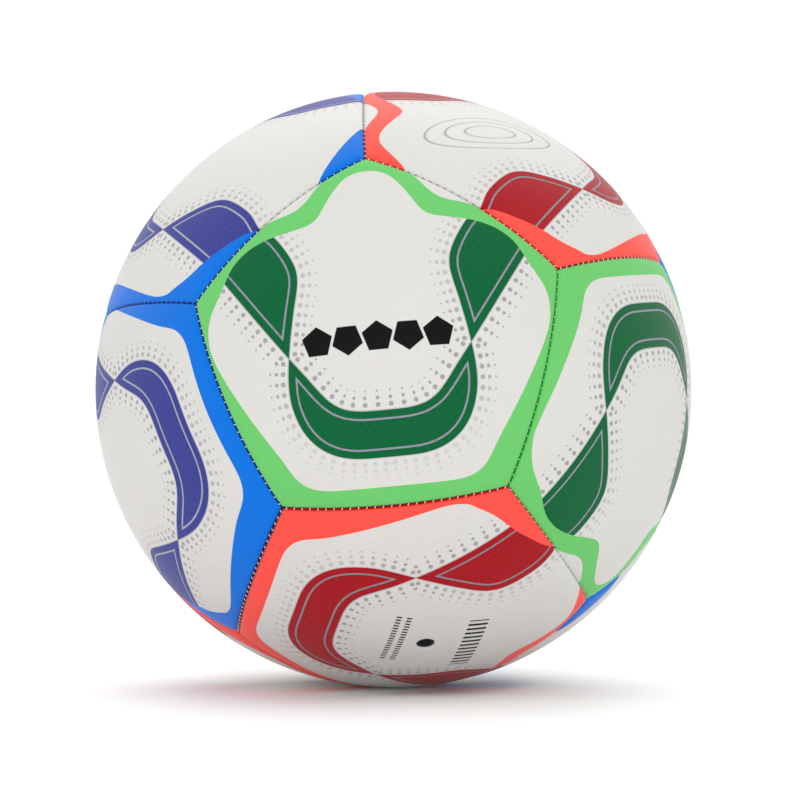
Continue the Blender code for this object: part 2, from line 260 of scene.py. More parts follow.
def rim_fields(places):
    """For each place: millimetres to its panel's nearest seam, and 0 to 1 for how near it is to a stitch."""
    vectors = direction(places)
    tilt = math.radians(SIDE_ANGLE)
    apart, along = [], []
    for side in range(5):
        cos, sin = math.cos(side_turn(side)), math.sin(side_turn(side))
        plane = np.array([cos * math.cos(tilt), sin * math.cos(tilt), -math.sin(tilt)])
        middle = np.array([cos * math.sin(tilt), sin * math.sin(tilt), math.cos(tilt)])
        apart.append(vectors @ plane * (-RADIUS / MM))
        along.append(np.degrees(np.arctan2(vectors @ np.array([-sin, cos, 0.0]), vectors @ middle)))
    nearest, rows = np.argmin(apart, axis=0), np.arange(len(places))
    share = np.array(along)[nearest, rows] / (2 * HALF_SIDE) + 0.5
    return np.array(apart)[nearest, rows], stitch_nearness(share)


def ring_places(per_side, inset, share=1.0):
    """Places round a panel at a distance inside its seams, or at a share of the way out to that line."""
    step = np.arange(5 * per_side)
    along = np.radians((step % per_side / per_side * 2 - 1) * HALF_SIDE)
    tilt = math.radians(SIDE_ANGLE)
    swing = np.arctan2(np.sin(along), np.cos(along) * math.sin(tilt))
    # The place at an angle `far` from the centre is inset from the seam's plane by this much of the radius:
    # level * cos(far) - reach * sin(far).
    level, reach = math.sin(tilt), math.cos(tilt) * np.cos(swing)
    far = np.arccos(inset / RADIUS / np.hypot(level, reach)) - np.arctan2(reach, level)
    azimuth = swing + side_turn(step // per_side)
    return np.column_stack([np.cos(azimuth), np.sin(azimuth)]) * (np.degrees(far) * share)[:, None]


def rim_drop(per_side, inset, drop):
    """The drop of each point of a rim ring: the stitches pull the edge in, and the corners sit lower."""
    step = np.arange(5 * per_side)
    share = step % per_side / per_side
    pull = stitch_nearness(share) * PUCKER * math.exp(-inset / PUCKER_REACH)
    to_corner = np.minimum(share, 1 - share) * 2 * HALF_SIDE * DEGREE
    dip = CORNER_DIP * np.exp(-(to_corner / CORNER_LENGTH) ** 2) * math.exp(-inset / CORNER_REACH)
    return drop + pull + dip


# ------------------------------------------------------------------------------------------------------
# Shells

# The flat map for baking has the outside of a panel in the middle and its underside in a corner.
MAP_HALF = 42.0  # degrees
UNDERSIDE_MAP_SCALE, UNDERSIDE_MAP_PLACE = 0.16, (-34.0, -34.0)


class Shell:
    """Gathers rings of points on a panel, with their places on the flat map, and the faces that join them."""

    def __init__(self):
        self.places, self.drops, self.charts, self.faces = [], [], [], []
        self.map_scale, self.map_place = 1.0, (0.0, 0.0)

    def add(self, places, drop, charts=None):
        """A new ring, as the indices of its points."""
        places = np.atleast_2d(places)
        start = len(self.places)
        self.places.extend(places)
        self.drops.extend(np.broadcast_to(drop, len(places)))
        self.charts.extend(places * self.map_scale + self.map_place if charts is None else charts)
        return list(range(start, len(self.places)))

    def join(self, inner, outer, hub=(0.0, 0.0), flip=False):
        """Faces between two rings that go round the hub anticlockwise, whatever their numbers of points."""

        def angles(ring):
            away = np.array([self.places[i] for i in ring]) - hub
            return np.unwrap(np.arctan2(away[:, 1], away[:, 0]))

        if len(inner) == len(outer):
            found = list(zip(inner, outer, outer[1:] + outer[:1], inner[1:] + inner[:1]))
        elif len(inner) == 1:
            found = [(inner[0], outer[i - 1], outer[i]) for i in range(len(outer))]
        else:
            a, b = angles(inner), angles(outer)
            shift = int(np.argmin(np.abs((b - a[0] + np.pi) % (2 * np.pi) - np.pi)))
            outer = outer[shift:] + outer[:shift]
            b = angles(outer)
            b += np.round((a[0] - b[0]) / (2 * np.pi)) * 2 * np.pi
            a, b = np.append(a, a[0] + 2 * np.pi), np.append(b, b[0] + 2 * np.pi)
            found = []
            i = j = 0
            while i < len(inner) or j < len(outer):
                from_inner = j == len(outer) or (i < len(inner) and a[i + 1] < b[j + 1])
                here, there = inner[i % len(inner)], outer[j % len(outer)]
                if from_inner:
                    i += 1
                    found.append((here, there, inner[i % len(inner)]))
                else:
                    j += 1
                    found.append((here, there, outer[j % len(outer)]))
        self.faces.extend(tuple(reversed(face)) if flip else face for face in found)

    def widen(self, ring, places, drop, charts=None):
        """Goes on outwards from a ring to a new one, on top."""
        wider = self.add(places, drop, charts)
        self.join(ring, wider)
        return wider

    def narrow(self, ring, places, drop):
        """Goes on inwards from a ring to a new one, underneath."""
        closer = self.add(places, drop)
        self.join(closer, ring, flip=True)
        return closer

    def spread(self, rings, inset, drop):
        """A sheet from the panel's centre out to an inset."""
        ring = self.add([(0.0, 0.0)], drop)
        for step in range(1, rings + 1):
            ring = self.widen(ring, ring_places(step, inset, step / rings), drop)
        return ring

    def gather(self, ring, rings, inset, drop):
        """A sheet underneath, from a ring back in to the panel's centre."""
        for step in range(rings, 0, -1):
            ring = self.narrow(ring, ring_places(step, inset, step / rings), drop)
        self.narrow(ring, [(0.0, 0.0)], drop)

    def clear_round(self, hub, radius, start, flip):
        """Takes away the faces from index start on that come near a round hole, and gives the loop left."""
        near = np.hypot(*(np.array(self.places) - hub).T) < radius / DEGREE + HOLE_MARGIN
        gone = [face for face in self.faces[start:] if near[list(face)].any()]
        self.faces[start:] = [face for face in self.faces[start:] if not near[list(face)].any()]
        ahead = {(here, there) for face in gone for here, there in zip(face, face[1:] + face[:1])}
        edge = {here: there for here, there in ahead if (there, here) not in ahead}
        loop = [min(edge)]
        for _ in edge:
            loop.append(edge[loop[-1]])
        assert loop[0] == loop[-1], "the faces taken away leave more than one loop"
        return loop[-1:0:-1] if flip else loop[:-1]

    def hole_rings(self, hub, profile):
        """Round rings about a hole's middle, one for each radius and drop of the profile."""
        turn = np.arange(HOLE_POINTS) / HOLE_POINTS * 2 * np.pi
        circle = np.column_stack([np.cos(turn), np.sin(turn)])
        return [self.add(circle * radius / DEGREE + hub, drop) for radius, drop in profile]

    def pierce(self, hub, profile):
        """Cuts a round hole through the top, with a profile from wide to narrow, and gives its last ring."""
        loop = self.clear_round(hub, profile[0][0], 0, False)
        rings = self.hole_rings(hub, profile)
        self.join(rings[0], loop, hub)
        for wide, narrow in zip(rings, rings[1:]):
            self.join(narrow, wide, hub)
        return rings[-1]

    def pierce_under(self, hub, profile, mouth, start):
        """Carries the hole on from its mouth, through the faces underneath, which begin at index start."""
        loop = self.clear_round(hub, profile[-1][0], start, True)
        narrow, wide = self.hole_rings(hub, profile)
        self.join(narrow, mouth, hub)
        self.join(narrow, wide, hub, flip=True)
        self.join(wide, loop, hub, flip=True)

    def tidy(self):
        """Drops the points that no face uses, and turns the lists into arrays."""
        used = sorted({i for face in self.faces for i in face})
        place = {old: new for new, old in enumerate(used)}
        self.faces = [tuple(place[i] for i in face) for face in self.faces]
        self.places, self.drops, self.charts = (
            np.array(values)[used] for values in (self.places, self.drops, self.charts)
        )
        return self

    def points_at(self, name):
        """The shell's points on the ball, at the panel of that name."""
        return CENTRE + (direction(self.places) * (RADIUS - self.drops)[:, None]) @ bases[name]


def panel_shell(hub=None):
    """One panel's closed shell. With a hub, a round hole for the valve goes through it there."""
    shell = Shell()
    ring = shell.spread(GRID, RIM_START, 0.0)
    if hub is not None:
        mouth = shell.pierce(hub, HOLE_OUTSIDE)
    per_side = STITCHES * POINTS_PER_STITCH
    edge = ring_places(per_side, RIM_START)
    outward = edge / np.hypot(*edge.T)[:, None]
    walked, last = 0.0, (RIM_START, 0.0)
    for inset, drop in RIM_OUTSIDE + RIM_LIP:
        walked += math.dist((inset, drop), last) / DEGREE
        last = (inset, drop)
        drops = rim_drop(per_side, inset, drop)
        ring = shell.widen(ring, ring_places(per_side, inset), drops, edge + outward * walked)
    under = len(shell.faces)
    shell.map_scale, shell.map_place = UNDERSIDE_MAP_SCALE, UNDERSIDE_MAP_PLACE
    for inset, drop in RIM_UNDERSIDE:
        ring = shell.narrow(ring, ring_places(per_side, inset), drop)
    shell.gather(ring, GRID_INSIDE, UNDERSIDE_INSET, SKIN)
    if hub is not None:
        shell.pierce_under(hub, HOLE_INSIDE, mouth, under)
    return shell.tidy()


# ------------------------------------------------------------------------------------------------------
# Artwork, as fields on the mesh


def rounded(points):
    """A smooth line through the run of the points, by cutting its corners three times."""
    line = np.array(points, float)
    for _ in range(3):
        ahead = line[:-1] * 0.75 + line[1:] * 0.25
        behind = line[:-1] * 0.25 + line[1:] * 0.75
        line = np.vstack([line[:1], np.column_stack([ahead, behind]).reshape(-1, 2), line[-1:]])
    return line


def line_fields(line, places):
    """Each place's signed distance to a line, positive on the line's left, and the length along it there."""
    starts, spans = line[:-1], np.diff(line, axis=0)
    lengths = np.hypot(*spans.T)
    run = np.concatenate([[0.0], np.cumsum(lengths)])
    from_start = places[:, None, :] - starts
    share = np.clip((from_start * spans).sum(2) / lengths**2, 0, 1)
    apart = np.hypot(*(from_start - share[..., None] * spans).transpose(2, 0, 1))
    pick = apart.argmin(1)
    rows = np.arange(len(places))
    near = from_start[rows, pick]
    side = np.sign(spans[pick, 0] * near[:, 1] - spans[pick, 1] * near[:, 0])
    return apart[rows, pick] * side, run[pick] + share[rows, pick] * lengths[pick]


def dot_count(line, along, pitch):
    """Turns length along a track into a count of dots from where the tracks cross, whole at the lower end."""
    crossing = line_fields(line, np.array([PINCH]))[1][0]
    foot = line_fields(line, np.array([(0.0, line[-1][1])]))[1][0]
    dots = round((foot - crossing) / pitch)
    below = (along - crossing) / (foot - crossing) * dots
    above = (crossing - along) / pitch
    return np.where(along > crossing, below, above)


def art_fields(art, places):
    """The artwork's fields at each place, by the names that they are stored under."""
    half = np.column_stack([np.abs(places[:, 0]), places[:, 1]])
    one, two = rounded(TRACK_ONE), rounded(TRACK_TWO)
    to_one, along_one = line_fields(one, half)
    to_two, along_two = line_fields(two, half)
    wave, _ = line_fields(rounded(WAVE_TOP + WINDOW_FOOT), half)
    plain, _ = line_fields(rounded(PLAIN_TOP + WINDOW_FOOT), half)
    lens, _ = line_fields(rounded(LENS), half)
    waved = {"green": True, "red": places[:, 0] > 0, "blue": False}[art]
    window = -np.where(waved, wave, plain)
    if art == "blue":
        window = np.minimum(window, BLUE_TOP - places[:, 1])
    return {
        "tracks": (to_one, to_two, np.where(waved, lens, NO_LENS)),
        "dots": (dot_count(one, along_one, PITCH_ONE), dot_count(two, along_two, PITCH_TWO), window),
    }


# ------------------------------------------------------------------------------------------------------
# Blender helpers

MIX_AMOUNT, MIX_UNDER, MIX_OVER, MIX_COLOUR = 0, 6, 7, 2  # a Mix node's sockets when it mixes colours


def new_object(name, points, faces, material):
    mesh = bpy.data.meshes.new(name)
    mesh.from_pydata([tuple(p) for p in points], [], faces)
    mesh.materials.append(material)
    mesh.polygons.foreach_set("use_smooth", [True] * len(mesh.polygons))
    mesh.update()
    made = bpy.data.objects.new(name, mesh)
    bpy.context.scene.collection.objects.link(made)
    return made


def store(piece, name, *values):
    """Stores up to three numbers on each point of a piece, for its material to read."""
    vectors = np.zeros((len(piece.data.vertices), 3))
    vectors[:, :len(values)] = np.column_stack(values)
    piece.data.attributes.new(name, "FLOAT_VECTOR", "POINT").data.foreach_set("vector", vectors.ravel())


def keep(piece, node):
    """Hides the CAD part that the piece stands for, and puts it on the ball."""
    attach(piece, "root")
    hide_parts(node)


class Number:
    """A number in a material's nodes. Arithmetic on it adds Math nodes."""

    def __init__(self, tree, socket):
        self.tree, self.socket = tree, socket

    def math(self, kind, *others, clamp=False):
        node = self.tree.nodes.new("ShaderNodeMath")
        node.operation = kind
        node.use_clamp = clamp
        for place, value in enumerate((self, *others)):
            if isinstance(value, Number):
                self.tree.links.new(value.socket, node.inputs[place])
            else:
                node.inputs[place].default_value = value
        return Number(self.tree, node.outputs[0])

    def __add__(self, other):
        return self.math("ADD", other)

    def __sub__(self, other):
        return self.math("SUBTRACT", other)

    def __mul__(self, other):
        return self.math("MULTIPLY", other)

    def __truediv__(self, other):
        return self.math("DIVIDE", other)

    def __abs__(self):
        return self.math("ABSOLUTE")

    def __neg__(self):
        return self * -1.0

    def least(self, other):
        return self.math("MINIMUM", other)

    def most(self, other):
        return self.math("MAXIMUM", other)

    def above(self, soft=SOFT_EDGE):
        """1 where the number is over zero, 0 where it is under, with a soft edge."""
        return self.math("MULTIPLY_ADD", 1 / soft, 0.5, clamp=True)

    def cell(self):
        """The number's place between the whole numbers on either side of it, from -0.5 to 0.5."""
        return self.math("FRACT") - 0.5

    def centred(self, period):
        """Distance from the middle of the repeating cell that the number is in."""
        return (self / period).cell() * period

    def length(self, other):
        """The length of the vector that the two numbers make."""
        return (self * self + other * other).math("SQRT")


def largest(numbers):
    return functools.reduce(Number.most, numbers)


class Paint:
    """A material being built, with its nodes and its shader."""

    def __init__(self, name, flat_colour):
        self.material = bpy.data.materials.new(name)
        self.material.use_nodes = True
        self.material.diffuse_color = flat_colour
        self.tree = self.material.node_tree
        self.tree.nodes.clear()
        self.shader = self.add("ShaderNodeBsdfPrincipled")
        self.feed(self.shader.outputs[0], self.add("ShaderNodeOutputMaterial").inputs["Surface"])
        self.object_place = self.add("ShaderNodeTexCoord").outputs["Object"]

    def add(self, kind, **settings):
        node = self.tree.nodes.new(kind)
        for name, value in settings.items():
            setattr(node, name, value)
        return node

    def feed(self, value, socket):
        """Sets a socket to a plain number or colour, or links it to a Number or another node's socket."""
        if isinstance(value, (float, tuple)):
            socket.default_value = value
        else:
            self.tree.links.new(value.socket if isinstance(value, Number) else value, socket)

    def stored(self, name):
        """The three numbers stored on the mesh under a name."""
        parts = self.add("ShaderNodeSeparateXYZ")
        self.feed(self.add("ShaderNodeAttribute", attribute_name=name).outputs["Vector"], parts.inputs[0])
        return [Number(self.tree, socket) for socket in parts.outputs]

    def noise(self, scale, detail=2.0, roughness=0.5):
        """Noise from 0 to 1. The scale is in features for each metre."""
        node = self.add("ShaderNodeTexNoise")
        self.feed(self.object_place, node.inputs["Vector"])
        self.feed(scale, node.inputs["Scale"])
        self.feed(detail, node.inputs["Detail"])
        self.feed(roughness, node.inputs["Roughness"])
        return Number(self.tree, node.outputs["Fac"])

    def mix(self, amount, under, over):
        """The over colour on the under colour by an amount from 0 to 1."""
        node = self.add("ShaderNodeMix", data_type="RGBA")
        self.feed(amount, node.inputs[MIX_AMOUNT])
        self.feed(under, node.inputs[MIX_UNDER])
        self.feed(over, node.inputs[MIX_OVER])
        return node.outputs[MIX_COLOUR]

    def scaled(self, colour, amount):
        """A colour made lighter or darker by a number near 1."""
        grey = self.add("ShaderNodeCombineColor")
        for socket in grey.inputs[:3]:
            self.feed(amount, socket)
        node = self.add("ShaderNodeMix", data_type="RGBA", blend_type="MULTIPLY")
        self.feed(1.0, node.inputs[MIX_AMOUNT])
        self.feed(colour, node.inputs[MIX_UNDER])
        self.feed(grey.outputs[0], node.inputs[MIX_OVER])
        return node.outputs[MIX_COLOUR]

    def bump(self, height, depth):
        """Relief: a height from 0 to 1, and its real depth in metres."""
        node = self.add("ShaderNodeBump")
        self.feed(1.0, node.inputs["Strength"])
        self.feed(depth, node.inputs["Distance"])
        self.feed(height, node.inputs["Height"])
        self.feed(node.outputs[0], self.shader.inputs["Normal"])

    def set(self, **values):
        """Feeds the shader's sockets, named with underscores for spaces."""
        for name, value in values.items():
            self.feed(value, self.shader.inputs[name.replace("_", " ")])


# ------------------------------------------------------------------------------------------------------
# Marks: generic shapes in the places of the printed marks, in degrees

MARKS = {"front": "row", "upper_right": "drawing", "bottom": "bars"}
PENTAGON_PITCH, PENTAGON_REACH, PENTAGONS = 5.4, 2.35, 5
ROW_CENTRE, ROW_EDGE = (-0.15, -1.05), 0.12
OVAL_CENTRE, OVAL_SIZE = (-1.5, 10.5), (5.6, 14.5)
OVAL_SHARES, OVAL_HALF_LINE, OVAL_EDGE = (1.0, 0.7, 0.4), 0.022, 0.02
BAR_EDGE = 0.08
# Each block's pitch and half width of its stripes, its centre and its half size.
BAR_BLOCKS = (
    (1.33, 0.3, (2.0, 11.4), (8.0, 1.9)),
    (0.82, 0.2, (0.9, -2.0), (7.4, 0.5)),
    (0.82, 0.2, (0.9, -3.9), (7.4, 0.5)),
)


def pentagon_row(x, y):
    """A plain row of solid pentagons, every other one upside down."""
    x, y = x - ROW_CENTRE[0], y - ROW_CENTRE[1]
    across = (x / PENTAGON_PITCH + 0.5).cell() * PENTAGON_PITCH
    upside_down = (x / (2 * PENTAGON_PITCH) + 0.75).cell().math("GREATER_THAN", 0.0)
    rise = y * (upside_down * 2.0 - 1.0)
    turns = [math.radians(-90 + 72 * side) for side in range(5)]
    reach = largest([across * math.cos(turn) + rise * math.sin(turn) for turn in turns])
    inside_row = -abs(x) + PENTAGONS / 2 * PENTAGON_PITCH
    return (-reach + PENTAGON_REACH).least(inside_row).above(ROW_EDGE)


def nested_ovals(x, y):
    """Three plain nested ovals in thin line."""
    away = ((x - OVAL_CENTRE[0]) / OVAL_SIZE[0]).length((y - OVAL_CENTRE[1]) / OVAL_SIZE[1])
    return largest([-abs(away - share) + OVAL_HALF_LINE for share in OVAL_SHARES]).above(OVAL_EDGE)


def bars_and_ticks(x, y):
    """A block of even bars, and two rows of small even ticks."""

    def block(pitch, half_width, centre, half_size):
        inside = (-abs(x - centre[0]) + half_size[0]).least(-abs(y - centre[1]) + half_size[1])
        return (-abs(x.centred(pitch)) + half_width).least(inside)

    return largest([block(*values) for values in BAR_BLOCKS]).above(BAR_EDGE)


# ------------------------------------------------------------------------------------------------------
# Materials

# How far the painted shade along a seam reaches, a little further along printed edges, and how soft its edge
# is. Along white seams it is painted only between the stitches.
GROOVE_SHADE_REACH, PRINTED_GROOVE_SHADE_EXTRA, GROOVE_SHADE_EDGE = 0.26, 0.12, 0.25  # millimetres from the seam
GAP_NEARNESS, GAP_EDGE = 0.28, 0.3  # between stitches, where their nearness is under this
DIMPLE_CELL, DIMPLE_RADIUS = (1.56, 2.7), 0.42  # degrees
SKIN_RELIEF, RUBBER_RELIEF, CLOTH_RELIEF, THREAD_RELIEF = 0.00006, 0.00008, 0.00012, 0.00008  # metres


def track_print(one, two, dots_one, dots_two, y, lower_fade_and_glare):
    """How much there is of the area between the tracks, its thin inner line, its outline and the dots."""
    track = (-(one.least(two))).least(one.most(two)).above()
    edge = abs(one).least(abs(two))
    inline = (-abs(edge - INLINE_INSET) + INLINE_HALF_WIDTH).above() * track

    nearest_is_one = (abs(two) - abs(one)).above(PICK_EDGE)
    count = dots_two + (dots_one - dots_two) * nearest_is_one
    along = count.cell() * (nearest_is_one * (PITCH_ONE - PITCH_TWO) + PITCH_TWO)
    dots = largest([-along.length(edge - away) + radius for away, radius in DOT_ROWS])

    above_crossing = (y - PINCH[1]).above(FADE_EDGE)
    inner = (-(one.most(two))).above(FADE_EDGE)
    outer, below_crossing = -inner + 1.0, -above_crossing + 1.0
    # How far the dots and outline fade: the print's fade away from the crossing, and outside the lower bend
    # also painted glare.
    most_fade_and_glare = inner * above_crossing * UPPER_FADE + outer * below_crossing * lower_fade_and_glare
    fade_and_glare = ((count - FADE_START) / FADE_RUN).least(most_fade_and_glare).most(0.0)
    stroke = (-edge + STROKE_HALF_WIDTH).above() * (-fade_and_glare * 0.5 + STROKE_STRENGTH)
    return track, inline, stroke, dots.above(DOT_EDGE) * (-fade_and_glare + 1.0)


def painted_seam_shade(to_seam, stitch, printed):
    """Painted shade along a seam: dark along printed edges, and dark only between the stitches along white
    ones.
    """
    near = (-to_seam + printed * PRINTED_GROOVE_SHADE_EXTRA + GROOVE_SHADE_REACH).above(GROOVE_SHADE_EDGE)
    gaps = (-stitch + GAP_NEARNESS).above(GAP_EDGE)
    return near * (gaps * (-printed + 1.0) + printed)


def pressed_dimples(x, y):
    """Pressed dimples in a staggered grid, a few millimetres apart, as 0 to 1 for how deep it is."""
    wide, high = DIMPLE_CELL
    first = x.centred(wide).length(y.centred(high))
    second = (x + wide / 2).centred(wide).length((y + high / 2).centred(high))
    return (-first.least(second) + DIMPLE_RADIUS).math("MULTIPLY", 1 / DIMPLE_RADIUS, clamp=True)


@functools.cache
def skin_material(art, mark):
    """Coated synthetic leather with the print of one of the three kinds of panel, and a mark or None."""
    colours = {key: linear(value) for key, value in PRINTS[art].items()}
    paint = Paint("skin_" + art + ("_" + mark if mark else ""), colours["band"])
    x, y, _ = paint.stored("place")
    to_seam, stitch, _ = paint.stored("rim")
    one, two, lens = paint.stored("tracks")
    dots_one, dots_two, window = paint.stored("dots")
    # How far the lower dots fade: partly the print's fade, partly painted glare.
    fade_and_glare = LOWER_FADES_AND_GLARE.get(mark, PLAIN_LOWER_FADE_AND_GLARE)
    track, inline, stroke, dots = track_print(one, two, dots_one, dots_two, y, fade_and_glare)
    band = (-(window.most(lens))).above()
    printed = band.most(track)
    groove_shade = painted_seam_shade(to_seam, stitch, printed)

    colour = paint.mix(dots, linear(WHITE), linear(DOT_GREY))
    colour = paint.mix(stroke, colour, linear(STROKE_GREY))
    if mark:
        shape = {"row": pentagon_row, "drawing": nested_ovals, "bars": bars_and_ticks}[mark](x, y)
        colour = paint.mix(shape, colour, linear(DRAWING_GREY if mark == "drawing" else MARK_BLACK))
    colour = paint.mix(track, colour, colours["track"])
    colour = paint.mix(inline, colour, colours["line"])
    colour = paint.mix(band, colour, colours["band"])
    # Painted shade along the seams, in a darker colour of the print or of the white.
    colour = paint.mix(groove_shade, colour, paint.mix(printed, linear(WHITE_GROOVE_SHADE), colours["groove_shade"]))

    cloud = paint.noise(28.0)
    grain = paint.noise(900.0, detail=3.0, roughness=0.6)
    fine = paint.noise(2600.0, roughness=0.6)
    dimple = pressed_dimples(x, y)
    # Painted shade in the dimples: the colour is made darker inside each one, most between the tracks.
    dimple_painted_shade = track.least(-band + 1.0) * -0.18 - 0.02  # they show most between the tracks
    shade = (cloud * 0.05 + grain * 0.10 + 0.925) * (dimple * dimple_painted_shade + 1.0)
    paint.set(Base_Color=paint.scaled(colour, shade), Roughness=grain * 0.16 + cloud * 0.10 + 0.36)
    paint.set(Specular_IOR_Level=0.06, Sheen_Weight=0.08, Sheen_Roughness=0.5)
    paint.bump(grain * 0.45 + fine * 0.25 + (dimple * -0.9 + 0.9), SKIN_RELIEF)
    return paint.material


def rubber_material(name, colour, grain_scale):
    paint = Paint(name, linear(colour))
    grain = paint.noise(grain_scale, detail=4.0, roughness=0.6)
    bloom = paint.noise(60.0, detail=3.0)
    shade = bloom * 0.35 + grain * 0.20 + 0.72
    paint.set(Base_Color=paint.scaled(linear(colour), shade), Roughness=grain * 0.2 + bloom * 0.15 + 0.38)
    paint.set(Specular_IOR_Level=0.2)
    paint.bump(grain, RUBBER_RELIEF)
    return paint.material


def woven_material(name, warp, weft, pitch):
    """Plain woven cloth: two sets of yarns, over and under each other, by distance round the ball."""
    paint = Paint(name, linear(warp))
    x, y, _ = paint.stored("place")
    period = pitch / DEGREE

    def crown(across):
        """The height across a yarn, from 0 at its sides to 1."""
        return -(across * across) * (4 / period**2) + 1.0

    warp_on_top = ((x / (2 * period)).cell() * (y / (2 * period)).cell()).above(0.002)
    height = crown(x.centred(period)) * warp_on_top + crown(y.centred(period)) * (-warp_on_top + 1.0)
    fuzz = paint.noise(1800.0, detail=3.0, roughness=0.6)
    colour = paint.mix(warp_on_top, linear(warp), linear(weft))
    # Painted shade and highlight on the weave: each yarn is lighter on its crown and darker at its sides,
    # following its height, with random fuzz.
    paint.set(Base_Color=paint.scaled(colour, height * 0.3 + fuzz * 0.2 + 0.6), Roughness=fuzz * 0.1 + 0.8)
    paint.bump(height + fuzz * 0.3, CLOTH_RELIEF)
    return paint.material


def thread_material(kind, colour):
    """Twisted polyester thread, by the length along it and the turn round it stored on the mesh."""
    paint = Paint("thread_" + kind, linear(colour))
    along, round_it, _ = paint.stored("twist")
    ply = abs((along + round_it).cell()) * 2.0
    fuzz = paint.noise(4000.0)
    # Painted shade between the plies: the colour is darker where the twist dips and lighter on the plies'
    # crowns, with random fuzz.
    shade = ply * 0.4 + fuzz * 0.2 + 0.5
    paint.set(Base_Color=paint.scaled(linear(colour), shade), Roughness=fuzz * 0.2 + 0.45)
    paint.bump(ply, THREAD_RELIEF)
    return paint.material


# ------------------------------------------------------------------------------------------------------
# Panels

valve_place = place_of((bases[VALVE_PANEL] @ valve_axis)[None])[0]
panel_shells = {name: panel_shell(hub) for name, hub in (("plain", None), ("pierced", valve_place))}


@functools.cache
def shell_art(kind, art, shift):
    """The artwork's fields on one of the two shells, with the print shifted by some degrees."""
    return art_fields(art, panel_shells[kind].places - shift)


def bake_map(mesh, charts):
    layer = mesh.uv_layers.new(name="OFBake")
    corners = np.empty(len(mesh.loops), int)
    mesh.loops.foreach_get("vertex_index", corners)
    layer.data.foreach_set("uv", (charts[corners] / (2 * MAP_HALF) + 0.5).ravel())


for name, art in ART_OF.items():
    kind = "pierced" if name == VALVE_PANEL else "plain"
    shell = panel_shells[kind]
    skin = skin_material(art, MARKS.get(name))
    panel = new_object("panel_" + name, shell.points_at(name), shell.faces, skin)
    store(panel, "place", *shell.places.T)
    store(panel, "rim", *rim_fields(shell.places))
    for field, values in shell_art(kind, art, PRINT_SHIFT.get(name, (0.0, 0.0))).items():
        store(panel, field, *values)
    bake_map(panel.data, shell.charts)
    keep(panel, "cover_" + name)

# ------------------------------------------------------------------------------------------------------
# Stitches

THREAD_RADIUS = 0.16 * MM
TWIST_PITCH = 1.2 * MM
# One stitch, as millimetres across the seam, along it and down.
STITCH_PATH = ((-0.42, -0.14, 1.50), (-0.33, -0.11, 1.16), (-0.17, -0.06, 0.98), (0.0, 0.0, 0.93),
               (0.17, 0.06, 0.98), (0.33, 0.11, 1.16), (0.42, 0.14, 1.50))
STITCH_SIDES = 8
# The thread that runs between the panels under the stitches: millimetres down, its ends as shares of the
# seam, its points and its sides.
RUN_DEPTH, RUN_ENDS, RUN_POINTS, RUN_SIDES = 3.0, (0.012, 0.988), 64, 6


class Thread:
    """Gathers round tubes with closed ends, and the twist stored on them."""

    def __init__(self):
        self.points, self.faces, self.twists = [], [], []

    def tube(self, path, sides):
        path = np.array(path)
        tangents = np.gradient(path, axis=0)
        tangents /= np.linalg.norm(tangents, axis=1)[:, None]
        gone = np.concatenate([[0.0], np.cumsum(np.linalg.norm(np.diff(path, axis=0), axis=1))])
        out = unit(path.mean(0) - CENTRE)
        start = len(self.points)
        shares = np.arange(sides) / sides
        turn = shares * 2 * np.pi
        for centre, tangent, far in zip(path, tangents, gone):
            side = unit(np.cross(tangent, out))
            top = np.cross(side, tangent)
            circle = np.cos(turn)[:, None] * side + np.sin(turn)[:, None] * top
            self.points.extend(centre + THREAD_RADIUS * circle)
            self.twists.extend((far / TWIST_PITCH, share) for share in shares)
        last = start + (len(path) - 1) * sides
        for ring in range(start, last, sides):
            for k in range(sides):
                a, b = ring + k, ring + (k + 1) % sides
                self.faces.append((a, b, b + sides, a + sides))
        self.faces.append(tuple(range(start + sides - 1, start - 1, -1)))
        self.faces.append(tuple(range(last, last + sides)))


def seam_thread(name_a, name_b):
    """The row of stitches between two panels, and the thread that runs under it."""
    middle, across = unit(facing[name_a] + facing[name_b]), unit(facing[name_a] - facing[name_b])
    run = np.cross(across, middle)
    thread = Thread()

    def spot(share, side, along, down):
        """A place by its share of the way along the seam and the millimetres across, along and down."""
        turn = math.radians((share * 2 - 1) * HALF_SIDE) + along * MM / RADIUS
        outwards = middle * math.cos(turn) + run * math.sin(turn)
        return CENTRE + outwards * (RADIUS - down * MM) + across * side * MM

    for stitch in range(STITCHES):
        share = (stitch + 0.5) / STITCHES
        thread.tube([spot(share, *offsets) for offsets in STITCH_PATH], STITCH_SIDES)
    thread.tube([spot(share, 0.0, 0.0, RUN_DEPTH) for share in np.linspace(*RUN_ENDS, RUN_POINTS)], RUN_SIDES)
    kind = ART_OF[name_a] if ART_OF[name_a] == ART_OF[name_b] else "mixed"
    made = new_object("stitches_" + name_a + "_" + name_b, thread.points, thread.faces, threads[kind])
    store(made, "twist", *np.transpose(thread.twists))
    return made


threads = {kind: thread_material(kind, colour) for kind, colour in THREAD_COLOURS.items()}
pairs = {"thread_" + a + "_" + b: (a, b) for a in ART_OF for b in ART_OF}
for node in sorted(pairs.keys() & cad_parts.keys()):
    keep(seam_thread(*pairs[node]), node)

# ------------------------------------------------------------------------------------------------------
# Backings

CLOTH_PITCH = 0.9 * MM
FOAM_GRID = 18
FOAM_TOP, FOAM_BASE, FOAM_INSET = 0.0013, 0.0040, 0.0032
FOAM_RIM = ((0.0026, 0.0016), (0.0024, 0.0020), (0.0024, 0.0034), (0.0026, 0.0038))
FOAM_HOLE = (0.0046, 0.0034)


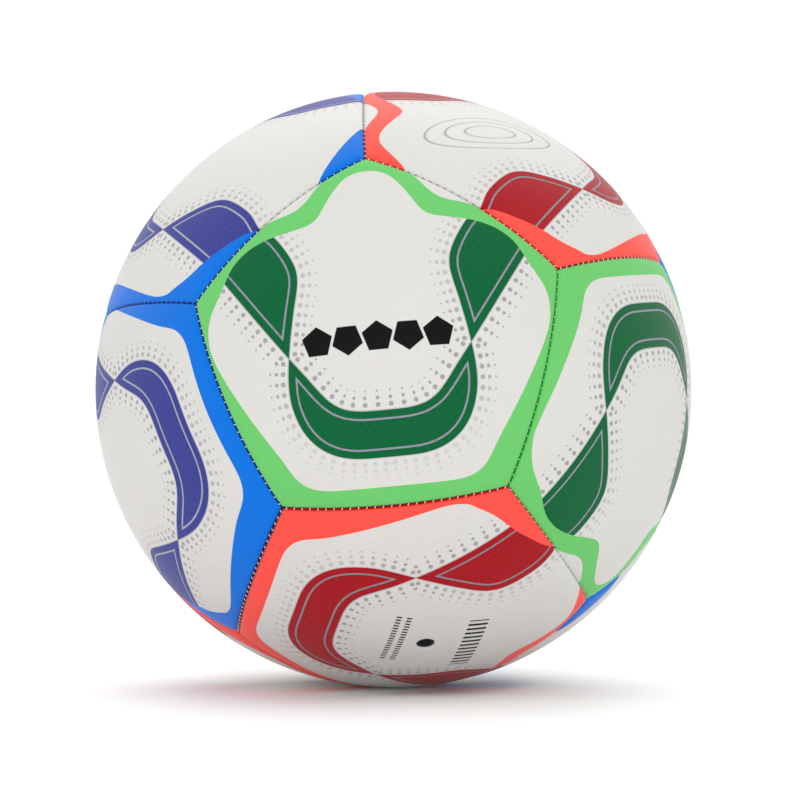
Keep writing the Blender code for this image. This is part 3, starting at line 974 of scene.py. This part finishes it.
def foam_shell(hub=None):
    """The foam and cloth pad behind a panel's skin, with a hole for the valve where a hub is given."""
    shell = Shell()
    ring = shell.spread(FOAM_GRID, FOAM_INSET, FOAM_TOP)
    if hub is not None:
        mouth = shell.pierce(hub, [(radius, FOAM_TOP) for radius in FOAM_HOLE])
    for inset, drop in FOAM_RIM:
        ring = shell.widen(ring, ring_places(FOAM_GRID, inset), drop)
    under = len(shell.faces)
    shell.gather(ring, FOAM_GRID, FOAM_INSET, FOAM_BASE)
    if hub is not None:
        shell.pierce_under(hub, [(radius, FOAM_BASE) for radius in reversed(FOAM_HOLE)], mouth, under)
    return shell.tidy()


cloth = woven_material("backing_cloth", CLOTH_WARP, CLOTH_WEFT, CLOTH_PITCH)
plain_foam, pierced_foam = foam_shell(), foam_shell(valve_place)
for name in ART_OF:
    foam = pierced_foam if name == VALVE_PANEL else plain_foam
    pad = new_object("foam_" + name, foam.points_at(name), foam.faces, cloth)
    store(pad, "place", *foam.places.T)
    keep(pad, "backing_" + name)

# ------------------------------------------------------------------------------------------------------
# Bladder and valve

BLADDER_WALL = 0.9 * MM
STEM_RADIUS, STEM_HOLE = 3.12 * MM, 3.3 * MM
FLANGE_START = 8.0 * MM  # beyond this distance from the axis there is only the dished part
PATCH_ROUND, PATCH_EDGE_LEVEL = 0.6 * MM, 0.985  # the level of its edge is a share of its sphere's radius
FLANGE_ROUND = 0.4 * MM
PLUG_RADIUS, PLUG_HEAD, PLUG_BORE = 1.3 * MM, 2.0 * MM, 0.4 * MM
# Millimetres away from a corner of a profile, outwards and up.
STEM_BORE_EDGE = ((0.0, -0.4), (0.2, -0.1), (0.5, 0.0))
STEM_TIP_EDGE = ((-0.7, 0.0), (-0.25, -0.08), (0.0, -0.35))
PLUG_BORE_EDGE = ((0.0, -7.8), (0.0, -0.4), (0.2, -0.1), (0.4, 0.0))
PLUG_TIP_EDGE = ((-0.2, 0.0), (0.0, -0.2))
PLUG_HEAD_TOP = ((-0.3, 0.0), (0.0, -0.3))
PLUG_HEAD_FOOT = ((0.0, 0.3), (-0.3, 0.0))

side_axis = unit(np.cross(valve_axis, (0.0, 0.0, 1.0)))
third_axis = np.cross(valve_axis, side_axis)


def outline(node):
    """A valve node's points as distance from the valve's axis and height along it from the ball's centre."""
    away = points_of(node) - CENTRE
    return np.hypot(away @ side_axis, away @ third_axis), away @ valve_axis


def dished(node):
    """The radii of the outer and inner sphere that a dished CAD ring follows, and its own outer radius."""
    across, height = outline(node)
    far = np.hypot(across, height)[across > FLANGE_START]
    return far.max(), far.min(), across.max()


def arc(radius, first, last=None, steps=10):
    """Profile points on a sphere about the ball's centre, between two distances from the valve's axis, or
    from one on round to the far pole."""
    end = math.pi if last is None else math.asin(last / radius)
    turns = np.linspace(math.asin(first / radius), end, steps + 1)
    return [(radius * math.sin(turn), radius * math.cos(turn)) for turn in turns]


def beside(across, height, offsets):
    """Profile points near a corner."""
    return [(across + outwards * MM, height + up * MM) for outwards, up in offsets]


def lathe(name, profile, steps, material):
    """A closed turned piece about the valve's axis, from a profile of radius and height."""
    turn = np.arange(steps) / steps * 2 * np.pi
    around = np.cos(turn)[:, None] * side_axis + np.sin(turn)[:, None] * third_axis
    points, faces, rings = [], [], []
    for radius, height in profile:
        at_pole = radius < 1e-6
        rings.append(list(range(len(points), len(points) + (1 if at_pole else steps))))
        points.extend(CENTRE + valve_axis * height + (np.zeros((1, 3)) if at_pole else around * radius))
    pairs = list(zip(rings, rings[1:]))
    if len(rings[0]) > 1:
        pairs.append((rings[-1], rings[0]))  # a profile that doesn't start at a pole closes on itself
    for here, there in pairs:
        for k in range(steps):
            after = (k + 1) % steps
            if len(here) == 1:
                faces.append((here[0], there[k], there[after]))
            elif len(there) == 1:
                faces.append((here[k], there[0], here[after]))
            else:
                faces.append((here[k], there[k], there[after], here[after]))
    return new_object(name, points, faces, material)


def bladder_profile():
    outside = np.linalg.norm(points_of("bladder") - CENTRE, axis=1).max()
    inside = outside - BLADDER_WALL
    return arc(inside, STEM_HOLE, steps=56)[::-1] + arc(outside, STEM_HOLE, steps=56)


def patch_profile():
    outside, inside, edge = dished("valve_patch")
    start = edge - PATCH_ROUND
    profile = arc(outside, STEM_HOLE, start, steps=12)
    profile += [(edge, (outside + inside) / 2 * PATCH_EDGE_LEVEL)]
    return profile + arc(inside, start, STEM_HOLE, steps=12)


def stem_profile():
    across, height = outline("valve_stem")
    tip, foot, bore = height.max(), height.min(), across.min()
    outside, inside, edge = dished("valve_stem")
    profile = beside(bore, tip, STEM_BORE_EDGE) + beside(STEM_RADIUS, tip, STEM_TIP_EDGE)
    profile += [(STEM_RADIUS, outside + 0.6 * MM)]
    profile += arc(outside, STEM_RADIUS + 0.6 * MM, edge - FLANGE_ROUND)
    profile += arc(inside, edge - FLANGE_ROUND, STEM_RADIUS + 0.5 * MM)
    return profile + [(STEM_RADIUS, inside - 0.8 * MM), (STEM_RADIUS, foot), (bore, foot)]


def plug_profile():
    across, height = outline("valve_core")
    tip, foot, head = height.max(), height.min(), across.max()
    neck = foot + PLUG_HEAD
    profile = [(0.0, tip - 8.0 * MM)] + beside(PLUG_BORE, tip, PLUG_BORE_EDGE)
    profile += beside(PLUG_RADIUS, tip, PLUG_TIP_EDGE) + [(PLUG_RADIUS, neck)]
    return profile + beside(head, neck, PLUG_HEAD_TOP) + beside(head, foot, PLUG_HEAD_FOOT) + [(0.0, foot)]


black_rubber = rubber_material("valve_rubber", VALVE_BLACK, 2200.0)
butyl = rubber_material("bladder_rubber", BUTYL_BLACK, 700.0)
keep(lathe("air_bladder", bladder_profile(), 96, butyl), "bladder")
keep(lathe("bladder_patch", patch_profile(), 72, butyl), "valve_patch")
keep(lathe("valve_body", stem_profile()[::-1], 64, black_rubber), "valve_stem")
keep(lathe("valve_plug", plug_profile()[::-1], 48, black_rubber), "valve_core")

# ------------------------------------------------------------------------------------------------------
# Studio

FLOOR_RADIUS, FLOOR_POINTS = 12.0, 64
FLOOR_SHADE = (0.95, 0.95, 0.95, 1.0)  # in linear light
WORLD_STRENGTH = 1.06
# Each light's place and size in metres and its power in watts. They all face the ball.
LIGHTS = {
    "top_box": ((0.0, 0.0, 1.8), (2.0, 2.0), 8.5),
    "top_back": ((0.0, 1.1, 1.3), (1.6, 0.6), 9.0),
    "low_front": ((0.0, -1.9, 0.0), (1.6, 0.2), 8.0),
}
CAMERA_DISTANCE = 1.21
CAMERA_LENS, CAMERA_SENSOR = 146.9, 36.0  # millimetres
CAMERA_SHIFT = (0.0084, -0.0136)


def paper_floor():
    """A wide pale paper floor, just under the ball."""
    paint = Paint("floor_paper", FLOOR_SHADE)
    tooth = paint.noise(300.0, detail=3.0)
    paint.set(Base_Color=paint.scaled(FLOOR_SHADE, tooth * 0.02 + 0.99), Roughness=0.9)
    turn = np.arange(FLOOR_POINTS) / FLOOR_POINTS * 2 * np.pi
    points = np.column_stack([np.cos(turn), np.sin(turn), 0 * turn]) * FLOOR_RADIUS + (0, 0, cad_box[0][2])
    new_object("floor", points, [tuple(range(FLOOR_POINTS))], paint.material)


def area_light(name, place, size, power):
    light = bpy.data.lights.new(name, "AREA")
    light.shape = "RECTANGLE"
    light.size, light.size_y = size
    light.energy = power
    made = bpy.data.objects.new(name, light)
    made.location = place
    made.rotation_euler = (-Vector(place)).to_track_quat("-Z", "Y").to_euler()
    bpy.context.scene.collection.objects.link(made)


def white_world():
    world = bpy.data.worlds.new("studio")
    world.use_nodes = True
    background = world.node_tree.nodes["Background"]
    background.inputs["Color"].default_value = (1.0, 1.0, 1.0, 1.0)
    background.inputs["Strength"].default_value = WORLD_STRENGTH
    bpy.context.scene.world = world


def front_camera():
    lens = bpy.data.cameras.new("camera")
    lens.lens, lens.sensor_width = CAMERA_LENS, CAMERA_SENSOR
    lens.shift_x, lens.shift_y = CAMERA_SHIFT
    camera = bpy.data.objects.new("camera", lens)
    camera.location = (0.0, -CAMERA_DISTANCE, 0.0)
    camera.rotation_euler = (math.radians(90), 0.0, 0.0)
    bpy.context.scene.collection.objects.link(camera)
    bpy.context.scene.camera = camera


paper_floor()
for name, (place, size, power) in LIGHTS.items():
    area_light(name, place, size, power)
white_world()
front_camera()
bpy.context.scene.view_settings.view_transform = "Standard"
